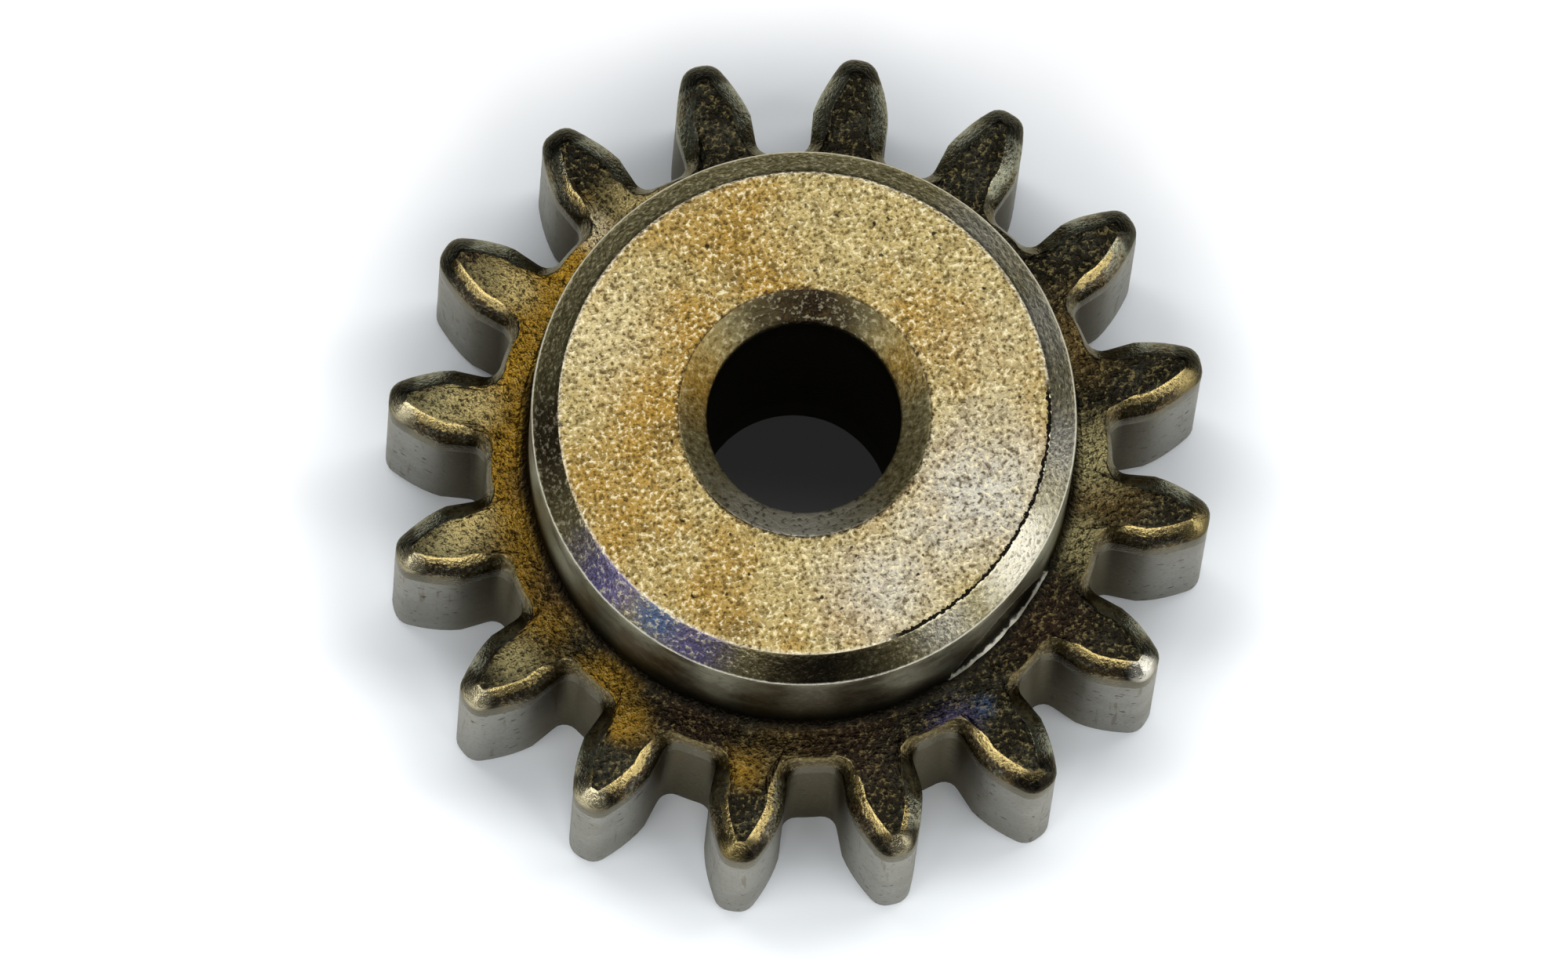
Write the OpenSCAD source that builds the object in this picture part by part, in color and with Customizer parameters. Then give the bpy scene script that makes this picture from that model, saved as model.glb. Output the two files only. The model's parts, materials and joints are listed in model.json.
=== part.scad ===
// Spur pinion with a plain hub, pressed from steel powder and sintered in one piece.
// Millimetres. The axis is +Z, the origin is at the middle of the bottom face of the teeth,
// the hub is on top, and the middle of one tooth lies on +X.

/* [Teeth] */
// Number of teeth
tooth_count = 16; // [14:1:40]
// Module: pitch diameter divided by the number of teeth
gear_module = 1; // [0.8:0.05:1.5]
// Pressure angle, in degrees
pressure_angle = 20; // [18:0.5:25]
// Height of a tooth above the pitch circle, in modules
addendum = 1; // [0.8:0.05:1.1]
// Depth of a tooth gap below the pitch circle, in modules
dedendum = 1.2; // [1.1:0.05:1.4]
// How much thinner each tooth is at the pitch circle than its gap, for running clearance
thinning = 0.04; // [0:0.01:0.1]
// Width of the teeth along the axis
face_width = 6.2; // [3:0.1:12]
// Radius of the corners of a tooth's tip
tip_radius = 0.4; // [0.1:0.02:0.5]
// Radius of the fillets at the foot of a tooth
root_radius = 0.34; // [0.1:0.02:0.45]
// Width of the rounded bevel that runs round the teeth on the hub's side
bevel_w = 0.42; // [0.1:0.02:0.46]
// Height of that bevel
bevel_h = 0.42; // [0.1:0.02:0.8]

/* [Hub] */
// Diameter of the hub
hub_d = 11.8; // [8:0.1:14]
// Height of the hub above the teeth
hub_h = 4.6; // [1.5:0.1:10]
// Width of the chamfer on the hub's rim
hub_chamfer_w = 0.57; // [0.1:0.01:1]
// Height of that chamfer
hub_chamfer_h = 0.57; // [0.1:0.01:1]
// Radius of the fillet at the hub's foot
foot_radius = 0.25; // [0.1:0.05:0.5]
// Height of the small step that the fillet stands on
foot_step = 0.06; // [0.02:0.01:0.2]

/* [Bore] */
// Diameter of the bore
bore_d = 4.2; // [2:0.05:6]
// Width of the countersink at each end of the bore
sink_w = 0.62; // [0.1:0.02:0.9]
// Depth of that countersink
sink_h = 0.48; // [0.1:0.02:1]

/* [Hidden] */
$fn = 96;

// How far a cutter runs past the face that it cuts
overrun = 1;
// Depth to which the bevelled end is sunk into the wheel, and the hub's plug below that
sunk = 1;
// Step between faces that would share a plane, too small to see
ledge = 0.01;
// Smallest corner radius and half width that the bevel leaves at a tooth's tip
least_tip = 0.05;
// Share of a full round that a tip's corner radius may take up
tip_share = 0.9;

// Steps in each stretch of a tooth's outline, in the bevel and in the hub's foot
fillet_steps = 3;
flank_steps = 4;
tip_steps = 3;
bevel_steps = 3;
foot_steps = 5;
newton_steps = 8;

// Circles that the teeth are drawn on
pitch_r = gear_module * tooth_count / 2;
base_r = pitch_r * cos(pressure_angle);
tip_r = pitch_r + addendum * gear_module;
root_r = pitch_r - dedendum * gear_module;

hub_r = hub_d / 2;
bore_r = bore_d / 2;
sink_r = bore_r + sink_w;
total_h = face_width + hub_h;
// The bevelled end is a ring with a hole, and the hub has a plug under it that fills the hole
ring_hole_r = sink_r + (hub_r - sink_r) / 3;
plug_r = sink_r + (hub_r - sink_r) * 2 / 3;

// Half the angle that one tooth and its gap take, and half the angle of a tooth at the base circle
half_pitch = 180 / tooth_count;
base_half = half_pitch / 2 + involute(pressure_angle) - in_degrees(thinning / 2 / pitch_r);

// The foot's fillets stop where those of two teeth meet, and the tip's corners inside the tip
gap_sine = sin(half_pitch - base_half);
fillet_r = min(root_radius, root_r * gap_sine / (1 - gap_sine));
tip_corner_r = min(tip_radius, tip_share * full_round());

function in_degrees(radians) = radians * 180 / PI;
function polar(r, angle) = r * [cos(angle), sin(angle)];
function steps(first, last, count) = [for (i = [0:count]) first + (last - first) * i / count];

// Involute of an angle, and the angle that has a given involute, in degrees
function involute(angle) = in_degrees(tan(angle)) - angle;
function angle_of_involute(value, angle = 45, left = newton_steps) =
    left == 0 ? angle
    : angle_of_involute(value, angle - (involute(angle) - value) / pow(tan(angle), 2), left - 1);

// Angle between a flank's radius and its tangent
function slope_at(r) = acos(min(1, base_r / r));

// Half the angle of a tooth at a radius, with its outline drawn in by inset.
// A line parallel to an involute is the same involute, turned back by inset over the base radius.
function flank_angle(r, inset) = base_half - in_degrees(inset / base_r) - involute(slope_at(r));

// Radius at which a drawn-in tooth has only its least width left
function peak_r(inset) = base_r / cos(angle_of_involute(
    base_half - in_degrees((inset + least_tip) / base_r)));

// Radius at which the tip's two corners meet in one full round, approached from below
function full_round(r = 0, left = newton_steps) =
    left == 0 ? r
    : full_round(base_r * (base_half - involute(slope_at(tip_r - r))) * PI / 180, left - 1);

// Fillet at a tooth's foot, from the root circle up to the flank, both drawn in by inset
function fillet_points(inset) =
    let (centre_r = root_r + fillet_r,
         on_involute = centre_r > base_r,
         centre_a = on_involute ? flank_angle(centre_r, -fillet_r)
             : base_half + asin(fillet_r / centre_r),
         last_a = on_involute ? centre_a + 270 - slope_at(centre_r) : base_half + 270)
    [for (a = steps(centre_a + 180, last_a, fillet_steps))
        polar(centre_r, centre_a) + polar(fillet_r + inset, a)];

// Corner of a tooth's tip, from the flank to the tip circle
function tip_points(inset) =
    let (corner_r = max(least_tip, tip_corner_r - inset),
         centre_r = min(tip_r - inset, peak_r(inset)) - corner_r,
         centre_a = max(0, flank_angle(centre_r, inset + corner_r)))
    [for (a = steps(90 - slope_at(centre_r), 0, tip_steps))
        polar(centre_r, centre_a) + polar(corner_r, centre_a + a)];

// One side of a tooth, from the gap's floor over the fillet and the flank to the tip
function tooth_side(inset) =
    let (foot = fillet_points(inset),
         tip = tip_points(inset),
         flank_r = steps(max(base_r, norm(foot[fillet_steps])), norm(tip[0]), flank_steps))
    concat(foot, [for (i = [1:flank_steps - 1]) polar(flank_r[i], flank_angle(flank_r[i], inset))], tip);
function tooth(inset) =
    let (side = tooth_side(inset), last = len(side) - 1)
    concat([for (p = side) [p[0], -p[1]]], [for (i = [last:-1:0]) side[i]]);

function turned(points, angle) =
    [for (p = points) [p[0] * cos(angle) - p[1] * sin(angle), p[0] * sin(angle) + p[1] * cos(angle)]];
function outline(inset) =
    let (one = tooth(inset)) [for (i = [0:tooth_count - 1]) each turned(one, 2 * half_pitch * i)];

// Layers of the bevelled end from its sunk foot up: how far the outline is drawn in, and its height
bevel_layers = concat(
    [[ledge, face_width - bevel_h - sunk]],
    [for (a = steps(0, 90, bevel_steps))
        [ledge + (bevel_w - ledge) * (1 - cos(a)), face_width - bevel_h * (1 - sin(a))]]);

// Quarter round at the hub's foot, hollow towards the corner
foot_profile = [for (a = steps(270, 180, foot_steps))
    [hub_r + foot_radius, face_width + foot_step + foot_radius] + polar(foot_radius, a)];

// Teeth and web up to the bevel
module wheel() {
    linear_extrude(face_width - bevel_h)
        polygon(outline(0));
}

// Ring with the bevelled end of the teeth, lofted through its layers round a hole with one side a tooth
module bevelled_end() {
    hole_a = [for (i = [0:tooth_count - 1]) 2 * half_pitch * (i - 0.5)];
    rows = [for (layer = bevel_layers) [for (p = outline(layer[0])) [p[0], p[1], layer[1]]]];
    holes = [for (layer = [bevel_layers[0], bevel_layers[len(bevel_layers) - 1]])
        [for (a = hole_a) [each polar(ring_hole_r, a), layer[1]]]];
    n = len(rows[0]);
    per_tooth = n / tooth_count;
    top_row = (len(rows) - 1) * n;
    low_hole = len(rows) * n;
    top_hole = low_hole + tooth_count;
    sides = [for (i = [0:len(rows) - 2], j = [0:n - 1])
        let (a = i * n + j, b = i * n + (j + 1) % n)
        each [[a, a + n, b + n], [a, b + n, b]]];
    // A cap, anticlockwise from above: strips across each tooth, the tooth's foot and the gap's floor
    function cap(row, hole) = [for (i = [0:tooth_count - 1])
        let (first = row + i * per_tooth, last = first + per_tooth - 1, next = (i + 1) % tooth_count)
        each concat(
            [for (j = [0:per_tooth / 2 - 2]) [first + j, first + j + 1, last - j - 1, last - j]],
            [[hole + i, first, last, hole + next], [hole + next, last, row + next * per_tooth]])];
    function flipped(faces) = [for (face = faces) [for (j = [len(face) - 1:-1:0]) face[j]]];
    hole_walls = [for (i = [0:tooth_count - 1])
        let (next = (i + 1) % tooth_count)
        [low_hole + i, low_hole + next, top_hole + next, top_hole + i]];
    polyhedron(points = [for (row = concat(rows, holes)) each row],
        faces = concat(sides, cap(0, low_hole), flipped(cap(top_row, top_hole)), hole_walls));
}

// Hub with its chamfered rim, its foot and the plug that is sunk into the wheel
module hub() {
    plug_z = face_width - bevel_h - 2 * sunk;
    seat_z = face_width - ledge;
    rotate_extrude()
        polygon(concat(
            [[0, plug_z], [plug_r, plug_z], [plug_r, seat_z], [hub_r + foot_radius, seat_z]],
            foot_profile,
            [[hub_r, total_h - hub_chamfer_h], [hub_r - hub_chamfer_w, total_h], [0, total_h]]));
}

// What is cut away for the shaft: the bore and a countersink at each end
module bore() {
    flare = sink_w / sink_h * overrun;
    translate([0, 0, -overrun])
        cylinder(r = bore_r, h = total_h + 2 * overrun);
    translate([0, 0, -overrun])
        cylinder(r1 = sink_r + flare, r2 = bore_r, h = sink_h + overrun);
    translate([0, 0, total_h - sink_h])
        cylinder(r1 = bore_r, r2 = sink_r + flare, h = sink_h + overrun);
}

module pinion_gear() {
    color("#9a8455") {
        difference() {
            union() {
                wheel();
                hub();
            }
            bore();
        }
        bevelled_end();
    }
}

pinion_gear();
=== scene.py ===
"""A small sintered steel pinion, dressed over its solid: grain, pores, heat tints, worn edges, and painted
highlights and shade.
"""

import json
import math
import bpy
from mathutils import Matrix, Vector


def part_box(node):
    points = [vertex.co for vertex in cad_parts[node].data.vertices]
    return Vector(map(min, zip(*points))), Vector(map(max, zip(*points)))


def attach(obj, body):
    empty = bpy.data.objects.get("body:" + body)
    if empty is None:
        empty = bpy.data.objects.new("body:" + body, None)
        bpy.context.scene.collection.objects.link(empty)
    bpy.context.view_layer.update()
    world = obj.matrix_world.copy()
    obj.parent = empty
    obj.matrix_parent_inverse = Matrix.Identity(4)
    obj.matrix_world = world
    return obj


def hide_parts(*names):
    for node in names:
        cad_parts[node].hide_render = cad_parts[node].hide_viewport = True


bl_info = {
    "name": "Sintered pinion",
    "version": (1, 0, 0),
    "blender": (4, 5, 0),
    "location": "3D View > Sidebar > Pinion",
    "description": "Builds a heat-tinted sintered steel pinion with its grain and wear, and a plain stage",
    "category": "Object",
}

import bmesh
import bpy
from mathutils import Matrix, Vector, noise

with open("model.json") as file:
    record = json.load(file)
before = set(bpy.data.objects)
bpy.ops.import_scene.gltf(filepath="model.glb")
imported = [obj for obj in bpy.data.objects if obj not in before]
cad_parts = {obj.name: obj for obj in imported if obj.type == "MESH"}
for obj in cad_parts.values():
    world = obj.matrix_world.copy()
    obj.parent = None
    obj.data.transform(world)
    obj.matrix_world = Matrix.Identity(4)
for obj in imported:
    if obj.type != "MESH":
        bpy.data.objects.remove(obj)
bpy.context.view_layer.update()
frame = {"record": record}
LOW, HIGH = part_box("pinion_gear")
BORE = next(mount for mount in frame["record"]["mounts"] if mount["name"] == "bore")

MM = 0.001
# The photograph's frame, in pixels, and the width of a full-frame sensor
IMAGE_W = 2000
SENSOR_W = 36.0

# Segments of half a tooth's outline, from the middle of the tip to the middle of the gap
LAND_STEPS = 3
CORNER_STEPS = 4
FLANK_STEPS = 6
FILLET_STEPS = 5
FLOOR_STEPS = 2
CHAIN_STEPS = LAND_STEPS + CORNER_STEPS + FLANK_STEPS + FILLET_STEPS + FLOOR_STEPS
# Smallest corner radius and half width that a bevel leaves at a tooth's tip
LEAST_TIP = 0.05 * MM
NEWTON_STEPS = 8
# How much of the bevel's width is left on the floor of a gap
FLOOR_SHARE = 0.3
# Points nearer than this are one point
MERGE = 0.0004 * MM
# Rows of points under the teeth, round their lower edge, up their walls, in over their ends and up the
# fillet at the hub's foot
UNDER_ROWS = 6
EDGE_ROWS = 4
WALL_ROWS = 8
END_ROWS = 24
FOOT_ROWS = 6
# Bevel's section, in shares of its width and height: how deep it begins on the wall, how far in it ends,
# where its two curves meet, and the corners that they are drawn to
BEVEL_DEEP = 1.05
BEVEL_IN = 1.1
BEVEL_MEET = Vector((0.75, 0.13))
WALL_CORNER = Vector((0, 0.78))
END_CORNER = Vector((0.9, 0))
BEND_STEPS = 6
# Depth, in shares of the bevel's height, above which its last rows belong to the end face
FLAT_SHARE = 0.02

# Surfaces of the gear, in the order of its material slots
WALL, BEVEL, END, HUB_SIDE, CHAMFER, HUB_TOP, BORE_WALL, UNDERSIDE = range(8)
# Sockets of a colour Mix node: its share, its two colours and its result
SHARE, FIRST, SECOND, MIXED = 0, 6, 7, 2

# Scar on the hub's side, leaf-shaped, with its straight edge along the hub's foot: its two ends, how far it
# lies above the foot, how high it reaches from there and how deep it is
SCAR_START = math.radians(-71)
SCAR_END = math.radians(-40)
SCAR_RISE = 0.1 * MM
SCAR_H = 2.3 * MM
SCAR_DEPTH = 0.1 * MM
# Share of the scar's height over which its depth runs out towards the top
SCAR_FADE = 0.4
# Lip round the scar: how far it stands out below and above, and how wide it is
SCAR_LIP = 0.09 * MM
SCAR_TOP_LIP = SCAR_LIP / 4
SCAR_LIP_W = 0.09 * MM
# How far the scar's edge wavers, and how long its waves are
SCAR_WAVER = 0.2 * SCAR_LIP_W
SCAR_WAVE = 3 * SCAR_LIP_W
# Share of its height that is added to a point's distance from the lip, so that only the lower lip is bare
LIP_CLIMB = 0.1
# Crease between the hub's face and its rim: its middle, half its length, where on that it is full, and what
# a point on its line has taken off its distance from the middle, so that only the line is stained
CREASE_ANGLE = math.radians(-45)
CREASE_HALF = 3.8 * MM
CREASE_FULL = 0.85 * CREASE_HALF
CREASE_PULL = 10 * MM
# Side of the gear, the front, whose bevels get a painted gold highlight along their inner edge and a band of
# painted shade under it
HIGHLIGHT_SIDE = Vector((math.cos(math.radians(-110)), math.sin(math.radians(-110)), 0))
# How much further a bevel counts as turned to that side for each metre that it lies towards it
HIGHLIGHT_LEAN = 0.02 / MM
# Radii at which the darkening begins and is full: oxide with painted shade in the gaps, on bevels and on
# walls, and painted shade on the bevels' tips
GAP_BEVEL = (7.25 * MM, 7.05 * MM)
GAP_WALL = (8.4 * MM, 7.2 * MM)
TIP_BEVEL = (8.4 * MM, 8.6 * MM)
# Squeeze along the draw, which stretches a pattern on the walls into streaks
DRAWN = (1, 1, 0.06)
# Heights of a pattern, from 0 to 1, at which crests, hollows and clouds begin and at which they are full
CRESTS = (0.52, 0.68)
HOLLOWS = (0.47, 0.33)
CLOUDS = (0.45, 0.65)
# Heights at which the rarest pores begin and are full, and how much higher both lie for the densest
PORES = (0.3, 0.22)
PORE_GAIN = 0.1
# Spots: the size of the lobes of their ragged outline, then, in shares of a spot's reach, how far these
# lobes go, where it begins and where it is full
SPOT_LOBE = 0.8 * MM
SPOT_RAGGED = 0.9
SPOT_RIM = 1.45
SPOT_CORE = 0.45

# Spots on each surface, of heat tint and, where the comments say so, of painted highlight and shade: tint,
# angle in degrees, radius and reach in millimetres, strength
HUB_TOP_SPOTS = (
    ("orange", 165, 3.1, 2.2, 0.9),
    ("orange", 130, 3.2, 1.5, 0.8),
    ("orange", 96, 4.0, 1.6, 0.7),
    ("orange", 30, 3.1, 0.8, 0.5),
    ("orange", -165, 4.5, 2.2, 0.8),
    ("orange", -130, 4.6, 1.6, 0.7),
    ("brown", 176, 3.0, 0.7, 0.5),
    ("brown", 103, 3.4, 0.6, 0.5),
    ("brown", -121, 5.0, 0.5, 0.6),
    ("silver", -38, 4.2, 2.8, 1.0),
    ("silver", -80, 4.2, 2.2, 0.8),
    ("silver", 5, 4.4, 2.2, 0.15),
    ("orange", 90, 2.9, 1.2, 0.9),
    ("cream", 145, 4.8, 2.2, 0.25),
)
END_SPOTS = (
    ("straw", 108, 6.6, 1.3, 0.7),
    ("amber", 128, 6.6, 2.2, 1.0),
    ("cream", 118, 6.75, 0.7, 0.5),
    ("amber", 150, 6.4, 2.4, 1.0),
    ("amber", 172, 6.4, 2.4, 1.0),
    ("amber", -166, 6.6, 2.0, 0.8),
    ("amber", -143, 6.8, 1.3, 0.8),
    ("khaki", 157.5, 7.8, 1.4, 0.9),
    ("khaki", 180, 7.7, 1.4, 0.9),
    ("khaki", 135, 7.7, 1.1, 0.6),
    ("khaki", -158, 7.6, 1.0, 0.7),
    # The straw spots near the roots of the left teeth are painted glints
    ("straw", 157, 7.1, 0.9, 0.9),
    ("straw", 135, 7.1, 0.7, 0.7),
    ("straw", 178, 7.3, 0.8, 0.9),
    ("umber", 154, 8.3, 0.7, 0.9),
    ("umber", 133, 8.5, 0.7, 0.9),
    ("umber", 177, 8.3, 0.6, 0.8),
    ("umber", -175, 7.3, 0.6, 0.9),
    ("umber", 163, 7.2, 0.5, 0.8),
    ("umber", -165, 6.0, 1.2, 0.9),
    ("umber", 172, 6.0, 0.8, 0.8),
    ("umber", 152, 6.0, 0.6, 0.6),
    ("umber", -125, 6.2, 1.6, 0.9),
    ("umber", -95, 6.3, 2.0, 0.9),
    ("amber", -114, 7.0, 0.8, 0.6),
    ("amber", -136, 7.0, 0.8, 0.6),
    ("violet", -74, 6.8, 0.8, 0.3),
    ("blue", -68, 6.8, 0.4, 0.3),
    ("umber", -50, 6.4, 1.8, 0.8),
    ("brown", -20, 6.5, 1.8, 0.9),
    ("khaki", -14, 6.4, 1.3, 1.0),
    ("khaki", -31, 6.4, 1.0, 0.9),
    ("brown", -107, 6.4, 1.5, 0.5),
    ("brown", 10, 6.5, 1.6, 0.8),
)
# Painted glints on the bevels at a few tips, not heat tint
BEVEL_GLINTS = (
    ("bright", -45.8, 8.9, 0.5, 1.0),
    ("cream", 159.7, 8.7, 0.5, 0.9),
    ("cream", -178.4, 8.8, 0.5, 0.9),
    ("cream", -156.6, 8.9, 0.5, 0.9),
    ("cream", -135.3, 8.8, 0.5, 1.0),
    ("gold", -113.6, 8.8, 0.4, 0.9),
    ("cream", -89.4, 8.9, 0.4, 0.8),
    ("gold", -23.5, 8.7, 0.5, 0.9),
    ("gold", -2.5, 8.6, 0.5, 0.9),
)
SIDE_SPOTS = (
    ("umber", -100, 5.9, 3.8, 1.0),
    ("umber", -60, 5.9, 3.0, 1.0),
    ("umber", -140, 5.9, 2.8, 0.7),
)
# On the rim, the bright and silver spots on the right are painted highlight and the umber spot on the left
# painted shade; violet and blue are heat tint
RIM_SPOTS = (
    ("bright", -46, 5.6, 2.0, 0.8),
    ("silver", -72, 5.6, 1.2, 0.7),
    ("silver", -20, 5.6, 1.8, 0.9),
    ("silver", 8, 5.6, 1.8, 0.8),
    ("silver", 32, 5.6, 1.6, 0.7),
    ("violet", -130, 5.6, 1.5, 0.9),
    ("violet", -155, 5.6, 1.6, 0.9),
    ("blue", -139, 5.5, 0.8, 0.8),
    ("umber", 172, 5.6, 2.4, 0.9),
)
# Painted shade, nearly black, on the front of the rim, over its grain
RIM_SHADE = (
    ("umber", -100, 5.6, 2.6, 0.8),
    ("pore_and_shade", -100, 5.6, 2.4, 0.9),
)
# On the countersink, the umber and pore spots at the back are painted shade and the bright spot at the front
# a painted highlight; amber is heat tint
SINK_SPOTS = (
    ("umber", 74, 2.4, 2.6, 1.0),
    ("pore_and_shade", 74, 2.4, 1.8, 0.6),
    ("bright", -110, 2.4, 2.6, 0.9),
    ("amber", 150, 2.4, 1.6, 0.8),
    ("amber", 15, 2.4, 1.2, 0.7),
)

# How far the grain and the waves stand up on each surface, in millimetres, and how long a wave is
RELIEF = {
    WALL: (0.002, 0.004), BEVEL: (0.004, 0.03), END: (0.016, 0.03), HUB_SIDE: (0.003, 0.006),
    CHAMFER: (0.005, 0.008), HUB_TOP: (0.012, 0.006), BORE_WALL: (0.006, 0.006),
    UNDERSIDE: (0.006, 0.004),
}
WAVE = 0.9 * MM

# Floor: half its side, its gap under the gear, where the painted shade under the bore begins and ends to
# fade, and where the painted shadow round the gear and the white pool round that do
FLOOR_SIZE = 1.0
FLOOR_GAP = 0.01 * MM
SHADE_INNER = 2.6 * MM
SHADE_OUTER = 3.2 * MM
# Faint even glow painted on the floor under the bore, as emission, standing in for light that bounces there
BORE_GLOW = 0.016
GEAR_SHADOW_INNER = 9 * MM
GEAR_SHADOW_OUTER = 12 * MM
POOL_INNER = 22 * MM
POOL_OUTER = 60 * MM
CLIP_END = 10.0
WORLD_TINT = (0.9, 0.95, 1.0)
WORLD_STRENGTH = 0.09
# Lights: name, azimuth and elevation from the gear, distance, width, height and power
LIGHTS = (
    ("back strip", 70, 78, 0.30, 0.30, 0.055, 0.62),
    ("front box", -108, 42, 0.30, 0.16, 0.16, 0.30),
    ("front right box", -45, 42, 0.30, 0.18, 0.18, 0.38),
    ("front left box", -160, 42, 0.30, 0.18, 0.18, 0.38),
    ("right reflector", -38, 8, 0.30, 0.26, 0.10, 0.20),
    ("left card", -150, 10, 0.35, 0.14, 0.10, 0.066),
)


def linear(code):
    """Linear red, green and blue of an sRGB hex colour"""
    parts = [int(code[i:i + 2], 16) / 255 for i in (1, 3, 5)]
    return tuple(c / 12.92 if c <= 0.04045 else ((c + 0.055) / 1.055) ** 2.4 for c in parts)


def steps(first, last, count):
    """Even steps from first to last, both with it"""
    return [first + (last - first) * i / count for i in range(count + 1)]


def polar(radius, angle, height=0.0):
    """Point at a radius and angle round the axis"""
    return Vector((radius * math.cos(angle), radius * math.sin(angle), height))


def length(name, description, size_mm):
    """Length property with its default in millimetres"""
    return bpy.props.FloatProperty(
        name=name, description=description, default=size_mm * MM, unit="LENGTH", precision=5
    )


def tint(name, description, code):
    """Colour property with its default as an sRGB hex value"""
    return bpy.props.FloatVectorProperty(
        name=name, description=description, default=linear(code), subtype="COLOR", min=0, max=1
    )


class PinionSizes(bpy.types.PropertyGroup):
    """Sizes of the pinion, as its solid has them, and of the wear that the solid leaves out"""

    tooth_count: bpy.props.IntProperty(name="Teeth", description="Number of teeth", default=16, min=8)
    gear_module: length("Module", "Pitch diameter divided by the number of teeth", 1.0)
    pressure_angle: bpy.props.FloatProperty(
        name="Pressure angle", description="Pressure angle of the teeth",
        default=math.radians(20), subtype="ANGLE",
    )
    addendum: length("Addendum", "Height of a tooth above the pitch circle", 1.0)
    dedendum: length("Dedendum", "Depth of a gap below the pitch circle", 1.2)
    thinning: length("Thinning", "How much thinner a tooth is than its gap", 0.04)
    face_w: length("Face width", "Width of the teeth along the axis", 6.2)
    tip_radius: length("Tip radius", "Radius of the corners of a tooth's tip", 0.4)
    root_radius: length("Root radius", "Radius of the fillets at a tooth's foot", 0.34)
    bevel_w: length("Bevel width", "Width of the rounded bevel on the hub's side", 0.42)
    bevel_h: length("Bevel height", "Height of that bevel", 0.42)
    under_round: length("Lower edge", "Radius of the worn edge under the teeth", 0.16)
    hub_d: length("Hub diameter", "Diameter of the hub", 11.8)
    chamfer: length("Chamfer", "Width and height of the chamfer on the hub's rim", 0.57)
    foot_radius: length("Foot radius", "Radius of the fillet at the hub's foot", 0.25)
    foot_step: length("Foot step", "Height of the step under that fillet", 0.06)
    bore_d: length("Bore diameter", "Diameter of the bore", 2 * BORE["dims"]["r_mm"])
    sink_w: length("Countersink width", "Width of the countersink at each end of the bore", 0.62)
    sink_h: length("Countersink depth", "Depth of the countersink", 0.48)
    edge: length("Edge wear", "How far an edge of the hub is worn round", 0.04)
    grain: length("Grain", "Width of a powder grain on the pressed faces", 0.15)


class PinionTints(bpy.types.PropertyGroup):
    """Oxide colours of the heated steel, and the tints of the painted light and shade on it"""

    straw: tint("Straw", "Pressed faces, lightly heated", "#9c8c5c")
    cream: tint("Cream", "Crests of the powder grain, and glints on the bevels", "#cfc4a0")
    # On the rim, silver is a painted highlight
    silver: tint("Silver", "Pressed face and rim where the oxide is thin", "#a9a69a")
    orange: tint("Orange", "Pressed face, heated more", "#8e6e2a")
    brown: tint("Brown", "Hollows of the powder grain", "#4b3c21")
    amber: tint("Amber", "Web where the oxide is clear", "#86661f")
    # Umber is also painted shade on the bevels, the rim and the countersink
    umber: tint("Umber", "Thick oxide on the web, the hub and the countersinks", "#2a1f17")
    bronze: tint("Bronze", "Tooth ends under dark oxide", "#1b1912")
    # Gold is a painted highlight: along the bevels facing the front, and at a few tips
    gold: tint("Gold", "Inner edge of the bevels", "#9a8959")
    olive: tint("Olive", "Bevels and the hub's side", "#7c7d6b")
    khaki: tint("Khaki", "Hub's rim, countersinks and the palest tooth ends", "#7c7451")
    violet: tint("Violet", "Hub's rim and web, blued by heat", "#5a5580")
    blue: tint("Blue", "Spots of blue oxide", "#3f5a80")
    grey: tint("Grey", "Die-drawn walls of the teeth", "#858685")
    # Earth is also painted shade in the gaps between the teeth
    earth: tint("Earth", "Walls in the gaps, with oxide left on them", "#3a321f")
    film: tint("Film", "Thin oxide, seen at a low angle", "#e6e2d4")
    # Bright is also a painted highlight: on the rim, its lower edge, the countersink and a tooth's tip
    bright: tint("Bright", "Bare steel on the scar's lip and worn edges", "#d8d4c4")
    # Pore is also painted shade in the scar, down the bore, at the hub's foot, on the bevels' tips, on the
    # rim and on the countersink
    pore_and_shade: tint("Pore", "Open pores, black oxide, the scar and the depth of the bore", "#14120e")


class PinionStage(bpy.types.PropertyGroup):
    """Camera, floor and light"""

    elevation: bpy.props.FloatProperty(
        name="Elevation", description="Angle of the view above the floor",
        default=math.radians(78.23), subtype="ANGLE",
    )
    roll: bpy.props.FloatProperty(
        name="Roll", description="Turn of the picture about the view",
        default=math.radians(-6.58), subtype="ANGLE",
    )
    turn: bpy.props.FloatProperty(
        name="Turn", description="Turn of the gear about its axis, as the camera sees it",
        default=math.radians(20.47), subtype="ANGLE",
    )
    distance: length("Distance", "From the camera to the gear", 717.7)
    right: length("Right", "How far the gear lies to the right of the picture's middle", 0.337)
    above: length("Above", "How far the gear lies above the picture's middle", 0.606)
    pixels_per_mm: bpy.props.FloatProperty(
        name="Scale", description="Pixels of the photograph for a millimetre", default=58.77
    )
    shade_tint: tint("Floor under the bore", "Floor that little light reaches", "#5c5a5a")
    floor_tint: tint("Floor", "White floor round the gear", "#fdfeff")
    # Painted shadow on the floor round the gear
    gear_shadow_tint: tint("Floor near the gear", "Floor dulled by the gear's nearness", "#dfe3e6")
    far_tint: tint("Floor far off", "Floor where the light falls off", "#6f7276")


def involute(angle):
    """Involute of an angle, both in radians"""
    return math.tan(angle) - angle


def angle_of_involute(value):
    """Angle that has the given involute, by Newton's steps"""
    angle = math.pi / 4
    for _ in range(NEWTON_STEPS):
        angle -= (involute(angle) - value) / math.tan(angle) ** 2
    return angle


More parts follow.
